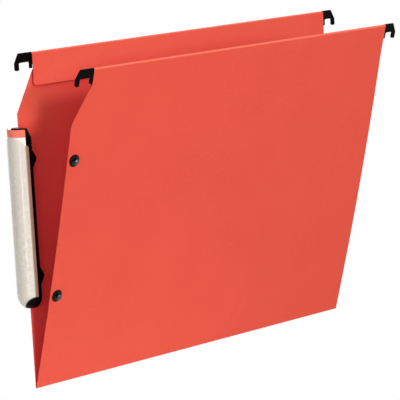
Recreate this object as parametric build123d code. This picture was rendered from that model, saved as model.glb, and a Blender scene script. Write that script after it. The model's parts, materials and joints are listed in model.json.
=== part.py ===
"""Lateral suspension file: a folded card that hangs as a V between two rails, by four hooks.

One sheet of card is creased along the bottom into a front and a rear panel. The top of each panel
is folded inwards over a flat steel rod, and the rod's ends carry moulded hooks. The front panel has
two press studs. A label holder straddles the left edge of the rear panel, with a curved paper label
behind a snap-on clear lens.

Millimetres. X runs along the crease, the front panel is on the -Y side and Z is up. The origin is
midway between the four hook seats, so Z = 0 is where the rails' top edges carry the hooks.

Each piece is first built on its own upright panel: X as above, Z up from the crease, and Y outwards
from the fold plane. hang() then leans it into the V.
"""
import os
from math import atan, atan2, cos, degrees, hypot, radians, sin, sqrt

from build123d import *

# How the file hangs
RAIL_SPACING = 330.0    # rail to rail, notch centre to notch centre
LEAN = 8.1              # lean of each panel from the vertical

# Card
CARD = 0.4              # thickness
PANEL_HEIGHT = 250.0    # bottom crease to top fold
LEFT_STEP = 16.1        # the hem stops this far short of the left edge
FRONT_STEP_TOP = 11.9   # front panel's upright part of the step, from the top fold down
FRONT_STEP_FOOT = 41.4  # where its slanted cut meets the left edge, from the top fold down
REAR_STEP_TOP = 11.6    # the same on the rear panel, whose cut starts further in, behind the flap
REAR_STEP_FOOT = 43.9
REAR_STEP_IN = 2.2
FRONT_BOW = 2.0         # the front panel's outward bow below the hem
FOLD_GAP = 0.1          # fold plane to each panel's inner face
CREASE_CLEAR = 0.05     # front panel to the rounded crease

# Hem along the top of each panel
HEM_FLAP = 25.0         # depth of the flap, from the top fold down
HEM_POCKET = 12.2       # depth over which the flap hangs parallel to the panel
FLAP_STAND = 1.5        # flap's lower edge to the panel
SEAM_UP = 4.0           # glued seam behind the flap, up from its lower edge
SEAM_WIDTH = 2.0
HEM_CLEAR = 0.1         # card to what lies in the pocket
HEM_END_GAP = 0.2       # hook's inner leg to the end of the hem
FLAP_CORNER = 3.0       # rounding of the flap's lower corners

# Rods
ROD_THICK = 0.8
ROD_HEIGHT = 8.0
TONGUE_HEIGHT = 4.4     # narrowed end that enters the hook
TONGUE_LENGTH = 24.0
ROD_FIT = 0.03          # tongue to its socket, each side
ROD_END_GAP = 0.1       # rod shoulder to the hook's tang

# Hooks
HOOK_WALL = 0.4         # plastic on each side of the tongue
HOOK_LEG = 3.4          # width of the outer leg
LEFT_NOTCH = 10.6       # width of the left hooks' notch, which drops over a rail
RIGHT_NOTCH = 8.4       # the same on the right hooks
HOOK_INNER = 2.0        # width of the inner leg
HOOK_TANG = 14.0        # length inside the hem
HOOK_BAR = 6.4          # height of the bar above the notch
HOOK_STEP = 0.7         # bar outside the hem, above the part inside
HOOK_DROP = 12.0        # top to the outer leg's tip
INNER_DROP = 11.4       # top to the inner leg's tip
SHOULDER_IN = 4.0       # slanted outer shoulder, across
SHOULDER_DOWN = 6.5     # slanted outer shoulder, down
LEG_TIP = 1.2           # rounding of the outer leg's tip
INNER_TIP = 0.8         # rounding of the inner leg's tip
NOTCH_ROUND = 1.0       # rounding in the notch's top corners
TOP_FLAT = 0.2          # flat left along the rounded top of the bar

# Press studs on the front panel, and the sockets for them behind the rear panel
STUD_INSET = 6.3        # from the card's left edge
STUD_DOWN = 14.0        # upper stud, down from the label holder's top
STUD_UP = 3.9           # lower stud, up from the centre of the holder's foot
STUD_R = 4.7
STUD_RIM = 0.5          # rim thickness of the stud's sloped flange
STUD_FLANGE = 1.3       # height of the flange where the knob starts
KNOB_R = 2.2
KNOB_HEIGHT = 2.6
KNOB_BEVEL = 0.7
CAP_RIM = 0.5           # rim thickness of a cap
CAP_THICK = 1.0
CAP_SEAT = 0.01         # flat cap to the bowed card
POST_R = 1.3
POST_DEPTH = 2.4        # post inside the stud
POST_FIT = 0.03
SOCKET_CLEAR = 0.1      # knob to socket wall
SOCKET_WALL = 2.2
SOCKET_DEPTH = 3.2

# Label holder on the left edge of the rear panel
HOLDER_HALF = 10.5      # half width across the card's plane
HOLDER_DROP = 54.6      # top of the holder, down from the top fold
HOLDER_FOOT = 71.1      # centre of the round lower end, up from the crease
FLANGE_THICK = 3.1      # from the card's left edge inwards
TOP_CUT = 4.7           # cut top corners of the holder, across
TOP_CUT_DOWN = 6.4      # the same, down
SLOT_BACK = 0.15        # slot's end beyond the card's left edge
JAW_THICK = 1.5
JAW_REACH = 3.1         # jaw strip beyond the flange
JAW_FIT = 0.05          # jaws to card, each side
JAW_END = 6.0           # jaws stop this far short of the holder's straight ends
EAR_INSET = 9.8         # ear centre from the card's left edge
EAR_DOWN = 23.9         # upper ear, down from the holder's top
EAR_UP = 12.6           # lower ear, up from the centre of the foot
EAR_R = 4.2
EAR_BASE = 13.0         # half the length of an ear's root on the jaw
LOBE_R = 6.0            # rounding of the ears behind the card

# Fasteners through the ears
PIN_R = 1.6
PIN_HEAD_R = 3.6
PIN_HEAD_RIM = 0.4
PIN_HEAD = 0.9
PIN_TAIL = 0.7          # shank inside the cap behind the ear
PIN_FIT = 0.05

# Lens and label
LENS_THICK = 0.6
LENS_RISE = 5.7         # crown of the lens above its straight sides
LENS_EDGE = 2.5         # where the crown starts, beyond the card's left edge
LENS_DROP = 6.0         # lens top, down from the holder's top
LENS_ARCH = 8.2         # middle of the lens's arched top above its sides
LENS_FIT = 0.05         # lens to holder
LIP_DEPTH = 0.35        # snap lip along each side of the lens
LIP_HEIGHT = 0.5
TOE_ACROSS = 6.2        # holder's toe in the lens's cut corner: its corner from the holder's middle
TOE_DROP = 2.9          # that corner, down from the centre of the foot
TOE_SIDE_DROP = 0.5     # top of the toe at the holder's side, down from the centre of the foot
TOE_PAST = 2.4          # where the cut leaves the foot, beyond the holder's middle
TOE_SINK = 0.3          # toe below the lens's surface
TOE_FIT = 0.15          # toe to lens
LABEL_THICK = 0.25
LABEL_DROP = 0.4        # label's top, down from the holder's top
LABEL_FIT = 0.15        # label to lens, and to the holder
LABEL_CUT_GAP = 0.5     # label's cut corner to the toe

# Section of the panels and hem, in Y and Z on an upright panel
FACE_IN = FOLD_GAP
FACE_OUT = FOLD_GAP + CARD
HOOK_THICK = ROD_THICK + 2 * (ROD_FIT + HOOK_WALL)
POCKET = HOOK_THICK + 2 * HEM_CLEAR
HEM_MID = FACE_IN - POCKET / 2
FOLD_R = POCKET / 2 + CARD
FOLD_V = PANEL_HEIGHT - FOLD_R
FLAP_V = PANEL_HEIGHT - HEM_FLAP
HOOK_TOP = PANEL_HEIGHT - CARD - HEM_CLEAR
BAR_MID = HOOK_TOP - HOOK_BAR / 2
SEAT_V = HOOK_TOP - HOOK_BAR
ROD_TOP = FOLD_V + sqrt((POCKET / 2 - HEM_CLEAR) ** 2 - (ROD_THICK / 2) ** 2)

# Places along X
LEFT_LEG = -RAIL_SPACING / 2 + LEFT_NOTCH / 2 + HOOK_INNER
RIGHT_LEG = RAIL_SPACING / 2 - RIGHT_NOTCH / 2 - HOOK_INNER
HEM_LEFT = LEFT_LEG + HEM_END_GAP
CARD_LEFT = HEM_LEFT - LEFT_STEP
CARD_RIGHT = RIGHT_LEG - HEM_END_GAP
CARD_WIDTH = CARD_RIGHT - CARD_LEFT

# The crease's height below the rail tops
CREASE_Z = HEM_MID * sin(radians(LEAN)) - SEAT_V * cos(radians(LEAN))

# Heights of the label holder's features above the crease
HOLDER_TOP = PANEL_HEIGHT - HOLDER_DROP
STUD_HEIGHTS = {"upper": HOLDER_TOP - STUD_DOWN, "lower": HOLDER_FOOT + STUD_UP}
EAR_HEIGHTS = {"upper": HOLDER_TOP - EAR_DOWN, "lower": HOLDER_FOOT + EAR_UP}
LENS_CROWN = HOLDER_TOP - LENS_DROP
LENS_SHOULDER = LENS_CROWN - LENS_ARCH

# The lens, the label and the parts that meet them are round about one upright axis
HOLDER_Y = (FACE_IN + FACE_OUT) / 2
LENS_R = (HOLDER_HALF ** 2 + LENS_RISE ** 2) / (2 * LENS_RISE)
LENS_X = CARD_LEFT - LENS_EDGE - LENS_RISE + LENS_R
LENS_IN_R = LENS_R - LENS_THICK
LABEL_R = LENS_IN_R - LABEL_FIT
LENS_IN_HALF = HOLDER_HALF - LENS_THICK
LABEL_HALF = LENS_IN_HALF - LABEL_FIT
FLANGE_X = CARD_LEFT
FLANGE_BACK = FLANGE_X + FLANGE_THICK
SEAT_X = LENS_X - sqrt((LABEL_R - LABEL_THICK) ** 2 - LABEL_HALF ** 2) + LABEL_FIT
FAR = 2 * HOLDER_TOP


def hang(piece, side):
    """Lean a piece from its upright panel into the V; side is 1 for the rear, -1 for the front."""
    if side < 0:
        piece = mirror(piece, about=Plane.XZ)
    return Pos(0, 0, CREASE_Z) * Rot(X=-side * LEAN) * piece


def along_x(section, start, end):
    """Extrude a section given in Y and Z from one X to another."""
    return Pos(start, 0, 0) * extrude(Plane.YZ * section, amount=end - start)


def through_y(outline, low, high):
    """Extrude an outline given in X and Z from one Y to another."""
    return Pos(0, high, 0) * extrude(Plane.XZ * outline, amount=high - low)


def block(low, high):
    """A box between two corners."""
    size = [b - a for a, b in zip(low, high)]
    middle = [(a + b) / 2 for a, b in zip(low, high)]
    return Pos(*middle) * Box(*size)


def rod_y(radius, x, z, low, high):
    """A round bar along Y."""
    return Pos(x, (low + high) / 2, z) * Rot(X=90) * Cylinder(radius, high - low)


def turned(outline):
    """Revolve an outline of radius and Y about the Y axis."""
    return revolve(make_face(outline), axis=Axis.Y)


# Card

def bow_at(height):
    """Outward shift and slope of the front panel at a height above the crease."""
    radius = (FLAP_V ** 2 / 4 + FRONT_BOW ** 2) / (2 * FRONT_BOW)
    rise = height - FLAP_V / 2
    run = sqrt(radius ** 2 - rise ** 2)
    return FRONT_BOW - radius + run, -rise / run


def sheet_section(bow):
    """Section of one panel from the crease to the fold: bowed up to the hem, then straight."""
    mid = FLAP_V / 2
    if bow:
        inner = ThreePointArc((FACE_IN, 0), (FACE_IN + bow, mid), (FACE_IN, FLAP_V))
        outer = ThreePointArc((FACE_OUT, FLAP_V), (FACE_OUT + bow, mid), (FACE_OUT, 0))
    else:
        inner = Line((FACE_IN, 0), (FACE_IN, FLAP_V))
        outer = Line((FACE_OUT, FLAP_V), (FACE_OUT, 0))
    upper = Polyline((FACE_IN, FLAP_V), (FACE_IN, FOLD_V), (FACE_OUT, FOLD_V), (FACE_OUT, FLAP_V))
    return make_face(inner + upper + outer + Line((FACE_OUT, 0), (FACE_IN, 0)))


def hem():
    """Top fold over the rod, and the flap that hangs from it, glued to the panel by a seam."""
    bend = PANEL_HEIGHT - HEM_POCKET
    back, foot = FACE_IN - POCKET, FACE_IN - FLAP_STAND
    sheet = make_face(
        Line((FACE_IN, FOLD_V), (FACE_OUT, FOLD_V))
        + ThreePointArc((FACE_OUT, FOLD_V), (HEM_MID, PANEL_HEIGHT), (back - CARD, FOLD_V))
        + Polyline((back - CARD, FOLD_V), (back - CARD, bend), (foot - CARD, FLAP_V), (foot, FLAP_V))
        + Polyline((foot, FLAP_V), (back, bend), (back, FOLD_V))
        + ThreePointArc((back, FOLD_V), (HEM_MID, PANEL_HEIGHT - CARD), (FACE_IN, FOLD_V))
    )
    solid = along_x(sheet, HEM_LEFT, CARD_RIGHT)
    corners = solid.edges().filter_by(Axis.Y).group_by(Axis.Z)[0]
    middle = foot + (back - foot) * SEAM_UP / (bend - FLAP_V) - CARD / 2
    low = FLAP_V + SEAM_UP
    seam = block((HEM_LEFT + HEM_FLAP, middle, low), (CARD_RIGHT - HEM_FLAP, FACE_IN, low + SEAM_WIDTH))
    return fillet(corners, FLAP_CORNER) + seam


def panel(bow, step_in, step_top, step_foot):
    """One panel with its hem, its left step and its slanted cut."""
    outline = make_face(Polyline(
        (CARD_LEFT, 0), (CARD_RIGHT, 0), (CARD_RIGHT, FOLD_V), (HEM_LEFT, FOLD_V),
        (HEM_LEFT + step_in, PANEL_HEIGHT - step_top), (CARD_LEFT, PANEL_HEIGHT - step_foot), close=True))
    sheet = along_x(sheet_section(bow), CARD_LEFT, CARD_RIGHT)
    reach = abs(bow) + 2 * FACE_OUT
    return (sheet & through_y(outline, -reach, reach)) + hem()


def crease(radius):
    """Round bar along the bottom crease."""
    return Pos((CARD_LEFT + CARD_RIGHT) / 2, 0, 0) * Rot(Y=90) * Cylinder(radius, CARD_WIDTH)


def rear_panel():
    card = panel(0, REAR_STEP_IN, REAR_STEP_TOP, REAR_STEP_FOOT) + crease(FACE_OUT)
    for height in EAR_HEIGHTS.values():
        card -= rod_y(PIN_R + PIN_FIT, CARD_LEFT + EAR_INSET, height, 0, 2 * FACE_OUT)
    return card


def front_panel():
    card = panel(FRONT_BOW, 0, FRONT_STEP_TOP, FRONT_STEP_FOOT) - crease(FACE_OUT + CREASE_CLEAR)
    for height in STUD_HEIGHTS.values():
        card -= on_front(height) * rod_y(POST_R + POST_FIT, 0, 0, -CARD, 2 * CARD)
    return card


# Rods and hooks

def rod():
    """Flat strip whose narrowed ends enter the hooks."""
    y = (HEM_MID - ROD_THICK / 2, HEM_MID + ROD_THICK / 2)
    left, right = LEFT_LEG + HOOK_TANG + ROD_END_GAP, RIGHT_LEG - HOOK_TANG - ROD_END_GAP
    strip = block((left, y[0], ROD_TOP - ROD_HEIGHT), (right, y[1], ROD_TOP))
    tongue = TONGUE_HEIGHT / 2
    left, right = left - TONGUE_LENGTH, right + TONGUE_LENGTH
    return strip + block((left, y[0], BAR_MID - tongue), (right, y[1], BAR_MID + tongue))


def round_top(outline):
    """Plate of the hooks' thickness with its upper edges rounded."""
    half = HOOK_THICK / 2
    plate = through_y(outline, -half, half)
    upper = plate.edges().filter_by(Axis.X).group_by(Axis.Z)[-1]
    return fillet(upper, half - TOP_FLAT / 2)


def hook(notch_width):
    """Plate with an outer leg, a rail notch, an inner leg and a tang that sheathes the rod's end.

    X runs inwards from the inner leg's inner side, and Z is 0 at the tang's top.
    """
    notch = -HOOK_INNER
    leg = notch - notch_width
    tip, end, seat = leg - HOOK_LEG, HOOK_TANG, -HOOK_BAR
    points = [(tip, -SHOULDER_DOWN), (tip + SHOULDER_IN, HOOK_STEP), (0, HOOK_STEP), (0, -INNER_DROP),
              (notch, -INNER_DROP), (notch, seat), (leg, seat), (leg, -HOOK_DROP), (tip, -HOOK_DROP)]
    rounds = [((tip, -HOOK_DROP), LEG_TIP), ((leg, -HOOK_DROP), LEG_TIP),
              ((notch, -INNER_DROP), INNER_TIP), ((0, -INNER_DROP), INNER_TIP),
              ((leg, seat), NOTCH_ROUND), ((notch, seat), NOTCH_ROUND)]
    outline = make_face(Polyline(*points, close=True))
    for point, radius in rounds:
        outline = fillet(outline.vertices().sort_by_distance(Vector(*point))[0], radius)
    tang = make_face(Polyline((0, seat), (end, seat), (end, 0), (0, 0), close=True))
    plate = round_top(outline) + round_top(tang)
    across, tall = ROD_THICK / 2 + ROD_FIT, TONGUE_HEIGHT / 2 + ROD_FIT
    deep = end - TONGUE_LENGTH - ROD_FIT
    return plate - block((deep, -across, seat / 2 - tall), (end, across, seat / 2 + tall))


# Press studs

def on_front(height):
    """Place on the front panel's inner face at a stud, square to the bowed card."""
    shift, slope = bow_at(height)
    return Pos(CARD_LEFT + STUD_INSET, FACE_IN + shift, height) * Rot(X=-degrees(atan(slope)))


def stud():
    """Sloped flange with a knob, hollow for the post that clamps it to the card."""
    bore, deep = POST_R + POST_FIT, CARD + POST_DEPTH
    foot, knob = CARD, CARD + STUD_FLANGE
    top = knob + KNOB_HEIGHT
    return turned(Polyline(
        (bore, foot), (STUD_R, foot), (STUD_R, foot + STUD_RIM), (KNOB_R, knob), (KNOB_R, top - KNOB_BEVEL),
        (KNOB_R - KNOB_BEVEL, top), (0, top), (0, deep), (bore, deep), close=True))


def head(radius, rim, thick):
    """Disc below Y = 0 with a bevelled edge."""
    face = radius - (thick - rim)
    return turned(Polyline((0, 0), (radius, 0), (radius, -rim), (face, -thick), (0, -thick), (0, 0)))


def stud_cap():
    """Cap on the card's inner face, with the post that holds the stud."""
    post = rod_y(POST_R, 0, 0, -CAP_SEAT - CAP_RIM, CARD + POST_DEPTH - POST_FIT)
    return Pos(0, -CAP_SEAT, 0) * head(STUD_R, CAP_RIM, CAP_THICK) + post


# Fasteners through the label holder's ears

GRIP = CARD + 2 * (JAW_FIT + JAW_THICK)


def on_ear(height):
    """Place on the front ear's face at a fastener."""
    return Pos(CARD_LEFT + EAR_INSET, FACE_IN - JAW_FIT - JAW_THICK, height)


def pin():
    """Head with a shank through both ears and the card."""
    return head(PIN_HEAD_R, PIN_HEAD_RIM, PIN_HEAD) + rod_y(PIN_R, 0, 0, -PIN_HEAD_RIM, GRIP + PIN_TAIL)


def pin_cap():
    """Cap behind the rear ear, bored for the shank's tail."""
    disc = head(PIN_HEAD_R, PIN_HEAD_RIM + PIN_TAIL, PIN_HEAD + PIN_TAIL)
    disc -= rod_y(PIN_R + POST_FIT, 0, 0, -PIN_TAIL - POST_FIT, PIN_TAIL)
    return Pos(0, GRIP, 0) * mirror(disc, about=Plane.XZ)


# Label holder on the rear panel

def holder_outline(half):
    """Upright outline in Y and Z with cut top corners and a round lower end."""
    low, high, shoulder = HOLDER_Y - half, HOLDER_Y + half, HOLDER_TOP - TOP_CUT_DOWN
    across = HOLDER_HALF - TOP_CUT
    return make_face(
        Polyline((low, HOLDER_FOOT), (low, shoulder), (HOLDER_Y - across, HOLDER_TOP))
        + Polyline((HOLDER_Y - across, HOLDER_TOP), (HOLDER_Y + across, HOLDER_TOP))
        + Polyline((HOLDER_Y + across, HOLDER_TOP), (high, shoulder), (high, HOLDER_FOOT))
        + ThreePointArc((high, HOLDER_FOOT), (HOLDER_Y, HOLDER_FOOT - half), (low, HOLDER_FOOT))
    )


def crowned(half, top, radius, back):
    """Strip with a crowned front and a domed foot, of a half width and a radius of crown."""
    upper = block((LENS_X - LENS_R, HOLDER_Y - half, HOLDER_FOOT), (back, HOLDER_Y + half, top))
    foot = along_x(Pos(HOLDER_Y, HOLDER_FOOT) * Circle(half), LENS_X - LENS_R, back)
    foot &= block((LENS_X - LENS_R, -FAR, 0), (back, FAR, HOLDER_FOOT))
    bar = Pos(LENS_X, HOLDER_Y, HOLDER_TOP / 2) * Cylinder(radius, FAR)
    ball = Pos(LENS_X, HOLDER_Y, HOLDER_FOOT) * Sphere(radius)
    return (upper & bar) + (foot & ball)


def cut_corner(grow):
    """Prism over the foot's inner corner, where the toe shows beside the lens."""
    top, foot = HOLDER_FOOT - TOE_DROP, HOLDER_FOOT - 2 * HOLDER_HALF
    run = (TOE_ACROSS + TOE_PAST) / (HOLDER_HALF - TOE_DROP)
    rise = (TOE_DROP - TOE_SIDE_DROP) / (HOLDER_HALF - TOE_ACROSS)
    points = [(TOE_ACROSS, top), (3 * TOE_ACROSS, top + 2 * TOE_ACROSS * rise), (3 * TOE_ACROSS, foot),
              (TOE_ACROSS - run * (top - foot), foot)]
    corners = [(HOLDER_Y - across + grow, height + grow) for across, height in points]
    return along_x(make_face(Polyline(*corners, close=True)), CARD_LEFT - FAR, CARD_LEFT + FAR)


def ears(low, high):
    """Ears that narrow from the jaw to the two fasteners, between two values of Y."""
    x, root = CARD_LEFT + EAR_INSET, FLANGE_BACK + JAW_REACH
    shapes = []
    for height in EAR_HEIGHTS.values():
        tip = Pos(x, height) * Circle(EAR_R)
        foot = Line((root, height - EAR_BASE), (root, height + EAR_BASE))
        shapes.append(through_y(make_hull(tip.edges() + foot.edges()), low, high))
    return shapes


def lobes(low, high):
    """Long ears behind the card, each over one fastener and one stud socket."""
    shapes = []
    for name, ear in EAR_HEIGHTS.items():
        run, rise = STUD_INSET - EAR_INSET, STUD_HEIGHTS[name] - ear
        slot = SlotCenterToCenter(hypot(run, rise), 2 * LOBE_R)
        place = Pos(CARD_LEFT + EAR_INSET + run / 2, ear + rise / 2) * Rot(Z=degrees(atan2(rise, run)))
        shapes.append(through_y(place * slot, low, high))
    return shapes


def jaw(low, high):
    """Strip of a jaw along the card, between two values of Y."""
    return block((FLANGE_BACK - LENS_FIT, low, HOLDER_FOOT + JAW_END - HOLDER_HALF),
                 (FLANGE_BACK + JAW_REACH, high, HOLDER_TOP - JAW_END))


def label_holder():
    """Flanged bar with a slot for the card's edge, two jaws with ears, and sockets behind."""
    flange = along_x(holder_outline(HOLDER_HALF), FLANGE_X, FLANGE_BACK)
    core = along_x(holder_outline(LENS_IN_HALF - LENS_FIT), SEAT_X, FLANGE_X)
    toe = crowned(HOLDER_HALF - TOE_SINK, HOLDER_TOP, LENS_R - TOE_SINK, FLANGE_X) & cut_corner(-TOE_FIT)

    inner, outer = FACE_IN - JAW_FIT, FACE_OUT + JAW_FIT
    front_jaw = (inner - JAW_THICK, inner)
    rear_jaw = (outer, outer + JAW_THICK)
    body = flange + core + toe + jaw(*front_jaw) + jaw(*rear_jaw)
    for piece in ears(*front_jaw) + lobes(*rear_jaw):
        body += piece
    for height in STUD_HEIGHTS.values():
        x, bore = CARD_LEFT + STUD_INSET, KNOB_R + SOCKET_CLEAR
        body += rod_y(bore + SOCKET_WALL, x, height, outer, outer + SOCKET_DEPTH)
        body -= rod_y(bore, x, height, outer - JAW_FIT, outer + 2 * SOCKET_DEPTH)

    body -= block((CARD_LEFT - SLOT_BACK, inner, 0), (CARD_LEFT + FAR, outer, FAR))
    for height in EAR_HEIGHTS.values():
        body -= rod_y(PIN_R + PIN_FIT, CARD_LEFT + EAR_INSET, height, -FAR, FAR)
    for side in (-1, 1):
        body -= lip(side, LENS_FIT)
    return body


def lip(side, grow):
    """Snap lip along one side of the lens, or its groove when grown."""
    inner, outer = LENS_IN_HALF - LIP_DEPTH - grow, LENS_IN_HALF + LENS_THICK / 2
    low, high = sorted((HOLDER_Y + side * inner, HOLDER_Y + side * outer))
    foot = FLANGE_X - LENS_FIT
    start = (foot - LIP_HEIGHT - grow, low, HOLDER_FOOT - grow)
    return block(start, (foot + grow, high, LENS_SHOULDER + grow))


def label_lens():
    """Clear crowned cover with a domed foot, an arched top, snap lips and one cut corner."""
    low, high = HOLDER_Y - HOLDER_HALF, HOLDER_Y + HOLDER_HALF
    arch = make_face(
        Polyline((low, LENS_SHOULDER), (low, 0), (high, 0), (high, LENS_SHOULDER))
        + ThreePointArc((high, LENS_SHOULDER), (HOLDER_Y, LENS_CROWN), (low, LENS_SHOULDER))
    )
    back = FLANGE_X - LENS_FIT
    shell = crowned(HOLDER_HALF, HOLDER_TOP, LENS_R, back)
    shell -= crowned(LENS_IN_HALF, FAR, LENS_IN_R, back + FAR)
    for side in (-1, 1):
        shell += lip(side, 0)
    return (shell & along_x(arch, LENS_X - 2 * LENS_R, back)) - cut_corner(0)


def label_insert():
    """Curved paper strip behind the lens, formed to its domed foot, with one cut corner."""
    back = SEAT_X - LABEL_FIT
    paper = crowned(LABEL_HALF, HOLDER_TOP - LABEL_DROP, LABEL_R, back)
    paper -= crowned(HOLDER_HALF, FAR, LABEL_R - LABEL_THICK, back + FAR)
    return paper - cut_corner(LABEL_CUT_GAP)


def build():
    """Every piece by name, in place."""
    parts = {"front_panel": hang(front_panel(), -1), "rear_panel": hang(rear_panel(), 1)}
    hooks = {
        "left": Pos(LEFT_LEG, HEM_MID, HOOK_TOP) * hook(LEFT_NOTCH),
        "right": Pos(RIGHT_LEG, HEM_MID, HOOK_TOP) * Rot(Z=180) * hook(RIGHT_NOTCH),
    }
    for name, side in (("front", -1), ("rear", 1)):
        parts[f"{name}_rod"] = hang(rod(), side)
        for end, piece in hooks.items():
            parts[f"{name}_{end}_hook"] = hang(piece, side)

    for name, height in STUD_HEIGHTS.items():
        parts[f"{name}_stud"] = hang(on_front(height) * stud(), -1)
        parts[f"{name}_stud_cap"] = hang(on_front(height) * stud_cap(), -1)

    parts["label_holder"] = hang(label_holder(), 1)
    parts["label_lens"] = hang(label_lens(), 1)
    parts["label_insert"] = hang(label_insert(), 1)
    for name, height in EAR_HEIGHTS.items():
        parts[f"holder_{name}_pin"] = hang(on_ear(height) * pin(), 1)
        parts[f"holder_{name}_cap"] = hang(on_ear(height) * pin_cap(), 1)
    return parts


os.makedirs("parts", exist_ok=True)
for node, solid in build().items():
    export_step(solid, f"parts/{node}.step")
    print(f"{node}: {solid.volume:.1f} mm3, {len(solid.solids())} solid")
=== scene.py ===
"""Looks for the lateral suspension file: card, moulded plastic, clear lens and label, in a white studio."""

import json
from math import cos, radians, sin

import bpy
from mathutils import Matrix, Vector


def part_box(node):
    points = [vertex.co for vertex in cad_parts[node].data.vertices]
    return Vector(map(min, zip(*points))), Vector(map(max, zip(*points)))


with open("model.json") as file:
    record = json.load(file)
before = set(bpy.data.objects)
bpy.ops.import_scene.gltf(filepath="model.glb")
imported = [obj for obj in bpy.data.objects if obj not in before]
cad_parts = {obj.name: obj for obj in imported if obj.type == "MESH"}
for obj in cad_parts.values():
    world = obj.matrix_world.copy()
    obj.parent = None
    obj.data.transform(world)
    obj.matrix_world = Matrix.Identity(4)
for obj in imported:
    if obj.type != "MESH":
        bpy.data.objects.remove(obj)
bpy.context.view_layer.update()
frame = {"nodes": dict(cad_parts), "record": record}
nodes = frame["nodes"]

# Camera, fitted to the photograph's 400 by 400 frame; metres and degrees
FRAME_PX = 400
FOCAL_PX = 2404.2
SENSOR_MM = 36.0
CAMERA_AZIMUTH = -45.28       # 0 looks along +Y
CAMERA_ELEVATION = 14.68
CAMERA_ROLL = 2.54
CAMERA_DISTANCE = 1.8772
CAMERA_TARGET = Vector((-0.00893, 0.0, -0.12113))

# The panels' lean, which the label's band and the hems' crests follow
LEAN = radians(8.1)
PANEL_UP = Vector((0.0, sin(LEAN), cos(LEAN)))

# Colours, linear
CARD_RED = (0.80, 0.092, 0.056)
CARD_DARK = (0.70, 0.066, 0.038)
CARD_LIGHT = (0.87, 0.165, 0.112)
CARD_BOUNCE_SHADE = (0.775, 0.058, 0.057)
CARD_FLAP_LIGHT = (0.825, 0.125, 0.080)
CARD_CONTACT_SHADE = (0.30, 0.022, 0.019)
CARD_CREST_HIGHLIGHT = (0.95, 0.22, 0.145)
PLASTIC_BLACK = (0.0018, 0.0016, 0.0016)
PLASTIC_HAZE = (0.0036, 0.0032, 0.0032)
LABEL_WHITE = (0.90, 0.84, 0.77)
LABEL_SHADE = (0.85, 0.79, 0.72)
BAND_ORANGE = (0.90, 0.11, 0.055)
LENS_SMOKE = (0.78, 0.72, 0.65)
LENS_SIDE_SHADE = (0.46, 0.25, 0.18)
STEEL_GREY = (0.56, 0.57, 0.59)
STEEL_DARK = (0.42, 0.43, 0.45)
FLOOR_WHITE = (0.66, 0.66, 0.66)
WHITE = (1.0, 1.0, 1.0, 1.0)

# Spans from which and to which values are mapped
RISE = (0.0, 1.0)
FALL = (1.0, 0.0)
NOISE_SPAN = (0.3, 0.7)       # holds most values of a noise
MARKS_SPAN = (0.35, 0.7)      # the same for handling marks

# Noise scales, in features per metre along X, Y and Z or in all directions
CARD_FIBRE = (420.0, 1500.0, 1500.0)
CARD_FLECK = (900.0, 2600.0, 2600.0)
CARD_CLOUD = 24.0
CARD_GRAIN = 1700.0
CARD_WAVE = 14.0
PLASTIC_GRAIN = 2600.0
PLASTIC_MARKS = 90.0
LENS_FLOW = (160.0, 160.0, 18.0)
LENS_MARKS = 320.0
LABEL_FIBRE = (1400.0, 1400.0, 500.0)
STEEL_LINES = (12.0, 2200.0, 2200.0)

# Where the card's painted shade, light and highlight lie; openness runs from 0, closed in, to 1, free
SHELTER_REACH = 0.12          # how far around shelter is looked for inside the fold
BOUNCE_SHADE_SPAN = (0.32, 0.60)    # openness over which the painted shade inside the fold ends
FLAP_LIGHT_IN = (0.50, 0.57)       # openness over which the painted light on the flaps starts
FLAP_LIGHT_OUT = (0.62, 0.78)      # and ends
FLAP_LIGHT_SHARE = 0.8
CONTACT_SHADE_REACH = 0.006            # the same for the painted shadow line under a flap and in other tight corners
CONTACT_SHADE_SPAN = (0.42, 0.94)
CONTACT_SHADE_LEFT = -0.1565           # the painted shadow starts inside the flap's left end
CONTACT_SHADE_FADE = 0.022             # length over which it grows
CREST = 0.0008                # height of the painted highlight along the hem's fold
CREST_BLUR = 0.0004
CREST_SHARE = 0.65

# Studs, as shares of the stud's box
KNOB_EDGE = 0.23              # radius of the knob
KNOB_BLUR = 0.03
KNOB_TOP = 0.16               # radius of its flat top
KNOB_LEVEL = 0.447            # height of its axis
KNOB_POWER = 1.7              # profile of the dome as which the top is shaded
KNOB_DOME = 0.0175            # height scale of that dome
POLISHED_NODES = ("upper_stud", "lower_stud")

# Lens and label
LENS_SIDE = 0.0025            # height of the lens's straight sides
LENS_BLUR = 0.0003
LENS_IOR = 1.49
LENS_CLEAR = (0.20, 0.26)     # opacity of the crown, rubbed spots last
LENS_RIM = 0.85               # opacity seen edge on
LENS_SIDES = 0.62             # opacity of the sides
BAND_FROM_TOP = 0.0056        # height of the label's orange band
BAND_BLUR = 0.00015
INK_WEAR = 0.16               # paper showing through the band

# Studio; metres, watts and degrees
FLOOR_DROP = 0.30             # floor below the file
FLOOR_SIZE = 12.0
FLOOR_SHARE = 0.99            # white in what shows of the floor; the rest keeps the shadow
SKY_STRENGTH = 0.15
MIDDLE = (0.0, 0.0, -0.12)
WIDE = 180.0
LAMPS = (                     # name, place, aim, size, power, spread
    ("key", (-0.42, -3.00, 1.47), MIDDLE, (0.60, 0.90), 65.0, WIDE),
    ("fill", (-1.55, -1.21, 0.45), MIDDLE, (0.8, 0.7), 6.5, WIDE),
    ("side", (-1.89, -0.60, -0.20), MIDDLE, (0.30, 0.6), 4.2, WIDE),
    ("rim", (-1.95, 0.52, 0.0), MIDDLE, (0.4, 0.6), 4.5, WIDE),
    ("right", (1.30, -1.50, -0.30), MIDDLE, (0.4, 0.4), 0.4, WIDE),
    ("low", (-0.17, -1.30, -0.42), (-0.17, 0.0, -0.29), (0.4, 0.1), 0.045, 16.0),
    ("back", (0.80, 2.00, 0.60), MIDDLE, (0.9, 0.9), 20.0, WIDE),
    ("top", (0.1, -0.26, 1.6), MIDDLE, (1.2, 0.8), 11.0, WIDE),
)

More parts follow.
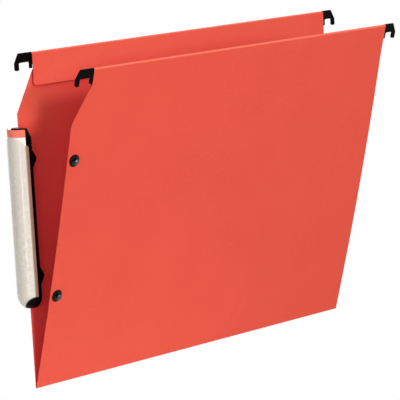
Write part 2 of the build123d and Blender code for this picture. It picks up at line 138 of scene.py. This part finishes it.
# Sockets of Blender's Mix node when it mixes colours
MIX_FACTOR, MIX_FIRST, MIX_SECOND, MIX_RESULT = 0, 6, 7, 2


def feed(tree, socket, value):
    """Link a socket into another one, or set its value."""
    if isinstance(value, bpy.types.NodeSocket):
        tree.links.new(value, socket)
    else:
        socket.default_value = value


def compute(tree, operation, *values):
    """A maths node on sockets or numbers; returns its result."""
    made = tree.nodes.new("ShaderNodeMath")
    made.operation = operation
    for socket, value in zip(made.inputs, values):
        feed(tree, socket, value)
    return made.outputs["Value"]


def around(middle, blur):
    """The span of a soft step."""
    return middle - blur, middle + blur


def panel_top(node):
    """How far a node reaches up along the leaning panel."""
    return max(PANEL_UP.dot(v.co) for v in nodes[node].data.vertices)


class Shader:
    """A node material with its surface shader, built by short calls."""

    def __init__(self, name):
        self.material = bpy.data.materials.new(name)
        self.material.use_nodes = True
        self.tree = self.material.node_tree
        self.surface = self.tree.nodes["Principled BSDF"]
        coordinates = self.tree.nodes.new("ShaderNodeTexCoord")
        self.place = coordinates.outputs["Object"]
        self.in_box = coordinates.outputs["Generated"]

    def node(self, kind, **inputs):
        """A new node; inputs are sockets to link or values to set, by name."""
        made = self.tree.nodes.new(kind)
        for name, value in inputs.items():
            feed(self.tree, made.inputs[name.replace("_", " ")], value)
        return made

    def noise(self, scale, **inputs):
        """Noise of one scale, or of three along the axes; detail and roughness as the node has them."""
        vector = self.place
        if isinstance(scale, tuple):
            vector = self.node("ShaderNodeMapping", Vector=vector, Scale=scale).outputs["Vector"]
            scale = 1.0
        settings = {"Detail": 3.0, "Roughness": 0.55, **inputs}
        return self.node("ShaderNodeTexNoise", Vector=vector, Scale=scale, **settings).outputs["Fac"]

    def math(self, operation, *values):
        return compute(self.tree, operation, *values)

    def axis(self, name):
        """One coordinate of the place on the piece."""
        return self.node("ShaderNodeSeparateXYZ", Vector=self.place).outputs[name]

    def along_panel(self):
        """Height along the leaning panel; the front panel mirrors the rear one."""
        lean = self.math("MULTIPLY", self.math("ABSOLUTE", self.axis("Y")), sin(LEAN))
        return self.math("ADD", lean, self.math("MULTIPLY", self.axis("Z"), cos(LEAN)))

    def openness(self, reach):
        """1 where nothing is near, 0 where the place is closed in."""
        return self.node("ShaderNodeAmbientOcclusion", Distance=reach).outputs["AO"]

    def remap(self, value, span, to):
        """A value's place in one span, carried over to another; clamped."""
        made = self.node("ShaderNodeMapRange", Value=value, From_Min=span[0], From_Max=span[1],
                         To_Min=to[0], To_Max=to[1])
        return made.outputs["Result"]

    def blend(self, factor, first, second):
        """Colour between two colours or colour sockets."""
        made = self.tree.nodes.new("ShaderNodeMix")
        made.data_type = "RGBA"
        for index, value in ((MIX_FACTOR, factor), (MIX_FIRST, first), (MIX_SECOND, second)):
            if isinstance(value, tuple):
                value = (*value, 1.0)
            feed(self.tree, made.inputs[index], value)
        return made.outputs[MIX_RESULT]

    def bump(self, height, distance, strength, below=None):
        """Normals of a relief; below is the relief that it lies on."""
        made = self.node("ShaderNodeBump", Height=height, Distance=distance, Strength=strength)
        if below:
            feed(self.tree, made.inputs["Normal"], below)
        return made.outputs["Normal"]

    def set(self, **inputs):
        """Sockets or values of the surface shader, by name."""
        for name, value in inputs.items():
            if isinstance(value, tuple):
                value = (*value, 1.0)
            feed(self.tree, self.surface.inputs[name.replace("_", " ")], value)


def card_material():
    """Through-dyed kraft card: fine fibres, a soft cloud of tone and a dry, slightly uneven face, with
    painted shade inside the fold, painted light on the flaps, painted shade in tight corners and a painted
    highlight along the hem's fold.
    """
    m = Shader("dyed_card")
    fibre = m.noise(CARD_FIBRE, Detail=5.0, Roughness=0.65)
    cloud = m.noise(CARD_CLOUD, Detail=2.0)
    fleck = m.noise(CARD_FLECK, Detail=2.0)
    tone = m.blend(m.remap(fibre, NOISE_SPAN, RISE), CARD_DARK, CARD_RED)
    tone = m.blend(m.remap(cloud, (0.35, 0.65), (0.25, 0.6)), tone, CARD_RED)
    tone = m.blend(m.remap(fleck, (0.64, 0.74), (0.0, 0.55)), tone, CARD_LIGHT)

    # Painted shade: the card turns a deeper red where the fold closes it in, standing in for light bounced
    # between the red faces
    shelter = m.openness(SHELTER_REACH)
    tone = m.blend(m.remap(shelter, BOUNCE_SHADE_SPAN, FALL), tone, CARD_BOUNCE_SHADE)
    # Painted light: half-open places, chiefly the hem flaps, turn paler as if lit more
    starts = m.remap(shelter, FLAP_LIGHT_IN, (0.0, FLAP_LIGHT_SHARE))
    flap_light = m.math("MULTIPLY", starts, m.remap(shelter, FLAP_LIGHT_OUT, FALL))
    tone = m.blend(flap_light, tone, CARD_FLAP_LIGHT)

    # Painted shade: a dark line where the card is closed in close by, chiefly the shadow under the flaps'
    # lower edges
    contact_shade = m.remap(m.openness(CONTACT_SHADE_REACH), CONTACT_SHADE_SPAN, FALL)
    grows = m.remap(m.axis("X"), (CONTACT_SHADE_LEFT, CONTACT_SHADE_LEFT + CONTACT_SHADE_FADE), RISE)
    tone = m.blend(m.math("MULTIPLY", grows, contact_shade), tone, CARD_CONTACT_SHADE)

    # Painted highlight along the rear hem's top fold, where light from above catches it
    crest = panel_top("rear_panel") - CREST
    crest_highlight = m.remap(m.along_panel(), around(crest, CREST_BLUR), (0.0, CREST_SHARE))
    tone = m.blend(crest_highlight, tone, CARD_CREST_HIGHLIGHT)

    grain = m.bump(m.noise(CARD_GRAIN, Detail=4.0, Roughness=0.7), 0.00012, 0.35)
    wave = m.bump(m.noise(CARD_WAVE, Detail=1.0), 0.0012, 0.12, below=grain)
    m.set(Base_Color=tone, Roughness=m.remap(fibre, NOISE_SPAN, (0.66, 0.80)), Normal=wave,
          Specular_IOR_Level=0.22)
    return m.material


def plastic_material(name, gloss, dull, knob_gloss=None):
    """Moulded black plastic with a fine texture and faint handling marks.

    With knob_gloss, a stud's knob is glossier, and its flat top is shaded as a dome.
    """
    m = Shader(name)
    dome = None
    if knob_gloss:
        flat = m.node("ShaderNodeMapping", Vector=m.in_box, Location=(-0.5, 0.0, -KNOB_LEVEL),
                      Scale=(1.0, 0.0, 1.0))
        measure = m.node("ShaderNodeVectorMath", Vector=flat.outputs["Vector"])
        measure.operation = "LENGTH"
        away = measure.outputs["Value"]
        gloss = m.remap(away, (KNOB_EDGE, KNOB_EDGE + KNOB_BLUR), (knob_gloss, gloss))
        sunk = m.math("POWER", m.math("MINIMUM", away, KNOB_TOP), KNOB_POWER)
        dome = m.bump(m.math("SUBTRACT", 1.0, sunk), KNOB_DOME, 1.0)
    grain = m.noise(PLASTIC_GRAIN, Detail=2.0)
    marks = m.noise(PLASTIC_MARKS)
    tone = m.blend(m.remap(marks, (0.4, 0.75), (0.0, 0.6)), PLASTIC_BLACK, PLASTIC_HAZE)
    m.set(Base_Color=tone, Roughness=m.remap(marks, MARKS_SPAN, (dull, dull + 0.12)),
          Normal=m.bump(grain, 0.00004, 0.25, below=dome), Specular_IOR_Level=gloss)
    return m.material


def lens_material():
    """Clear, slightly smoky plastic: faint flow lines, rubbed spots, denser where it is seen edge on, and a
    painted darker red-brown on its sides for the shade and red bounce light there.
    """
    m = Shader("clear_moulding")
    flow = m.noise(LENS_FLOW, Detail=2.0)
    marks = m.noise(LENS_MARKS)
    crown_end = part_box("label_lens")[1].x - LENS_SIDE
    side = m.remap(m.axis("X"), around(crown_end, LENS_BLUR), RISE)
    edge_on = m.node("ShaderNodeLayerWeight", Blend=0.25).outputs["Facing"]
    crown = m.remap(edge_on, (0.25, 1.0), (m.remap(marks, MARKS_SPAN, LENS_CLEAR), LENS_RIM))
    # The sides take a darker red-brown: painted shade and red light bounced from the panels
    m.set(Base_Color=m.blend(side, LENS_SMOKE, LENS_SIDE_SHADE), IOR=LENS_IOR, Specular_IOR_Level=1.0,
          Alpha=m.remap(side, RISE, (crown, LENS_SIDES)), Roughness=m.remap(side, RISE, (0.18, 0.40)),
          Normal=m.bump(flow, 0.0002, 0.05))
    return m.material


def label_material():
    """Off-white paper with a plain printed band along its top edge."""
    m = Shader("label_paper")
    fibre = m.noise(LABEL_FIBRE, Detail=4.0, Roughness=0.65)
    paper = m.blend(m.remap(fibre, NOISE_SPAN, RISE), LABEL_SHADE, LABEL_WHITE)
    edge = panel_top("label_insert") - BAND_FROM_TOP
    printed = m.remap(m.along_panel(), around(edge, BAND_BLUR), RISE)
    ink = m.blend(m.remap(fibre, (0.25, 0.75), (0.0, INK_WEAR)), BAND_ORANGE, LABEL_WHITE)
    m.set(Base_Color=m.blend(printed, paper, ink), Roughness=m.remap(fibre, NOISE_SPAN, (0.55, 0.7)),
          Normal=m.bump(fibre, 0.00005, 0.2))
    return m.material


def steel_material():
    """Rolled steel strip with lengthwise drawing lines."""
    m = Shader("rolled_steel")
    lines = m.noise(STEEL_LINES)
    m.set(Base_Color=m.blend(lines, STEEL_GREY, STEEL_DARK), Metallic=1.0,
          Roughness=m.remap(lines, NOISE_SPAN, (0.28, 0.42)), Normal=m.bump(lines, 0.00004, 0.3))
    return m.material


def dress(slots, studs):
    """Give every CAD node the material of its slot in the record; the polished studs have their own."""
    for entry in frame["record"]["subparts"]:
        node = entry["node"]
        materials = nodes[node].data.materials
        materials.clear()
        materials.append(studs if node in POLISHED_NODES else slots[entry["material_slot"]])


def add_camera():
    """The fitted camera."""
    az, el, roll = radians(CAMERA_AZIMUTH), radians(CAMERA_ELEVATION), radians(CAMERA_ROLL)
    back = Vector((sin(az) * cos(el), -cos(az) * cos(el), sin(el)))
    right = Vector((cos(az), sin(az), 0.0))
    up = back.cross(right)
    across = cos(roll) * right + sin(roll) * up
    upward = cos(roll) * up - sin(roll) * right
    data = bpy.data.cameras.new("camera")
    data.sensor_fit = "HORIZONTAL"
    data.sensor_width = SENSOR_MM
    data.lens = FOCAL_PX / FRAME_PX * SENSOR_MM
    camera = bpy.data.objects.new("camera", data)
    turn = Matrix((across, upward, back)).transposed().to_4x4()
    camera.matrix_world = Matrix.Translation(CAMERA_TARGET + CAMERA_DISTANCE * back) @ turn
    bpy.context.scene.collection.objects.link(camera)
    bpy.context.scene.camera = camera


def add_lamp(name, place, aim, size, power, spread):
    """A rectangular lamp that faces its aim."""
    data = bpy.data.lights.new(name, "AREA")
    data.shape = "RECTANGLE"
    data.size, data.size_y = size
    data.energy = power
    data.spread = radians(spread)
    lamp = bpy.data.objects.new(name, data)
    lamp.location = place
    lamp.rotation_euler = (Vector(aim) - Vector(place)).to_track_quat("-Z", "Y").to_euler()
    bpy.context.scene.collection.objects.link(lamp)


def show_white(tree, shader, white_kind, output, share):
    """Let a share of plain white replace a shader for the rays that show the background."""
    path = tree.nodes.new("ShaderNodeLightPath").outputs
    seen = path["Is Camera Ray"]
    for ray in ("Is Glossy Ray", "Is Transmission Ray"):
        seen = compute(tree, "MAXIMUM", seen, path[ray])
    white = tree.nodes.new(white_kind)
    white.inputs["Color"].default_value = WHITE
    white.inputs["Strength"].default_value = 1.0
    mix = tree.nodes.new("ShaderNodeMixShader")
    layers = (compute(tree, "MULTIPLY", seen, share), shader.outputs[0], white.outputs[0])
    for socket, value in zip(mix.inputs, layers):
        tree.links.new(value, socket)
    tree.links.new(mix.outputs[0], tree.nodes[output].inputs["Surface"])


def add_studio():
    """Pale floor well below the hanging file, white surroundings and soft lamps."""
    floor_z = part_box("rear_panel")[0].z - FLOOR_DROP
    bpy.ops.mesh.primitive_plane_add(size=FLOOR_SIZE, location=(0.0, 0.0, floor_z))
    floor = bpy.context.object
    floor.name = "floor"
    paint = Shader("floor_paint")
    paint.set(Base_Color=FLOOR_WHITE, Roughness=0.9)
    show_white(paint.tree, paint.surface, "ShaderNodeEmission", "Material Output", FLOOR_SHARE)
    floor.data.materials.append(paint.material)

    world = bpy.data.worlds.new("studio")
    bpy.context.scene.world = world
    world.use_nodes = True
    sky = world.node_tree.nodes["Background"]
    sky.inputs["Color"].default_value = WHITE
    sky.inputs["Strength"].default_value = SKY_STRENGTH
    show_white(world.node_tree, sky, "ShaderNodeBackground", "World Output", 1.0)

    for lamp in LAMPS:
        add_lamp(*lamp)


dress({
    "card": card_material(),
    "steel": steel_material(),
    "black_plastic": plastic_material("black_moulding", gloss=0.03, dull=0.22),
    "clear_plastic": lens_material(),
    "label_paper": label_material(),
}, plastic_material("polished_black", gloss=0.10, dull=0.10, knob_gloss=0.8))
add_camera()
add_studio()
bpy.context.scene.view_settings.view_transform = "Standard"
